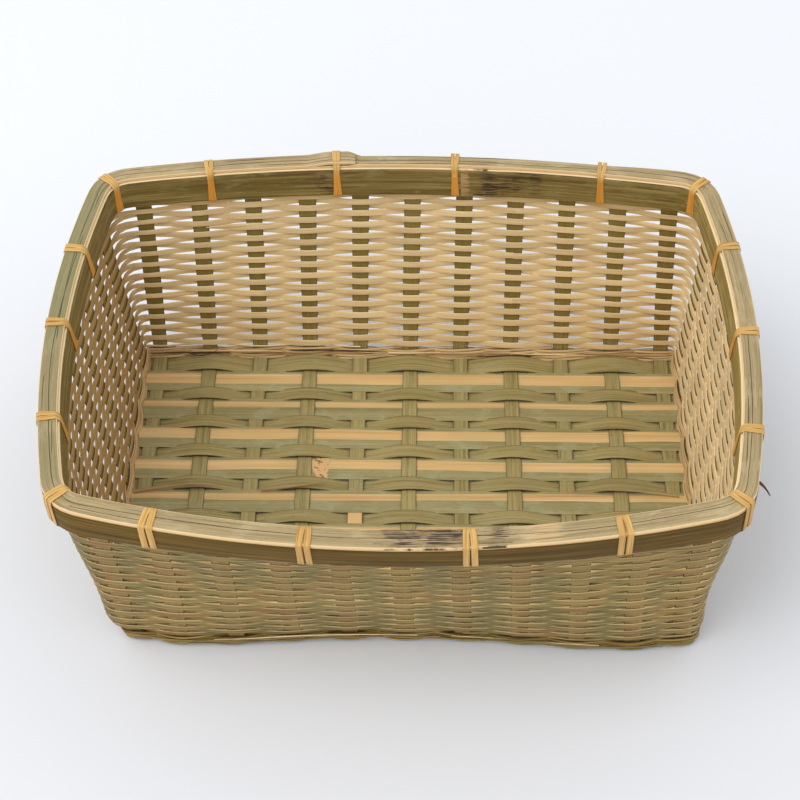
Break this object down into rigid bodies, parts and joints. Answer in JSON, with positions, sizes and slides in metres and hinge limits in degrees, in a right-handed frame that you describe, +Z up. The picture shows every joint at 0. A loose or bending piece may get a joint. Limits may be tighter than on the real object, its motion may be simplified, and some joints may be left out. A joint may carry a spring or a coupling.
{
  "type": "woven basket",
  "caption": "Rectangular open basket of split bamboo with a slatted floor, woven leaning walls and a flat lashed rim, for holding and carrying small goods.",
  "frame": {"origin": "middle of the basket's footprint on the surface that it stands on", "axes": "+X along the length, +Y from the front wall to the back wall, +Z up"},
  "size_m": [0.378, 0.2899, 0.1323],
  "materials": {
    "stake": "split bamboo, olive skin side",
    "batten": "split bamboo with a planed crown",
    "weaver": "thin split bamboo, pale tan",
    "twine": "twisted split bamboo, yellow olive",
    "hoop": "bamboo skin, grey olive, satin",
    "cover": "flat bamboo strip, weathered grey green",
    "lashing": "narrow golden split cane, satin"
  },
  "bodies": {
    "root": {"long_stake_01": "stake", "long_stake_02": "stake", "long_stake_03": "stake", "long_stake_04": "stake", "long_stake_05": "stake", "long_stake_06": "stake", "long_stake_07": "stake", "long_stake_08": "stake", "long_stake_09": "stake", "long_stake_10": "stake", "long_stake_11": "stake", "cross_stake_1": "stake", "cross_stake_2": "stake", "cross_stake_3": "stake", "cross_stake_4": "stake", "cross_stake_5": "stake", "cross_stake_6": "stake", "cross_stake_7": "stake", "cross_stake_8": "stake", "cross_stake_9": "stake", "floor_batten_1": "batten", "floor_batten_2": "batten", "floor_batten_3": "batten", "floor_batten_4": "batten", "floor_batten_5": "batten", "floor_batten_6": "batten", "floor_batten_7": "batten", "floor_batten_8": "batten", "weaver_1": "weaver", "weaver_2": "weaver", "weaver_3": "weaver", "weaver_4": "weaver", "weaver_5": "weaver", "weaver_6": "weaver", "weaver_7": "weaver", "weaver_8": "weaver", "base_twine_1": "twine", "base_twine_2": "twine", "inner_hoop": "hoop", "outer_hoop": "hoop", "rim_cover": "cover", "lashing_front_1": "lashing", "lashing_front_2": "lashing", "lashing_front_3": "lashing", "lashing_front_4": "lashing", "lashing_right_1": "lashing", "lashing_right_2": "lashing", "lashing_right_3": "lashing", "lashing_back_1": "lashing", "lashing_back_2": "lashing", "lashing_back_3": "lashing", "lashing_back_4": "lashing", "lashing_left_1": "lashing", "lashing_left_2": "lashing", "lashing_left_3": "lashing", "lashing_corner_1": "lashing", "lashing_corner_2": "lashing", "lashing_corner_3": "lashing", "lashing_corner_4": "lashing"}
  },
  "joints": []
}
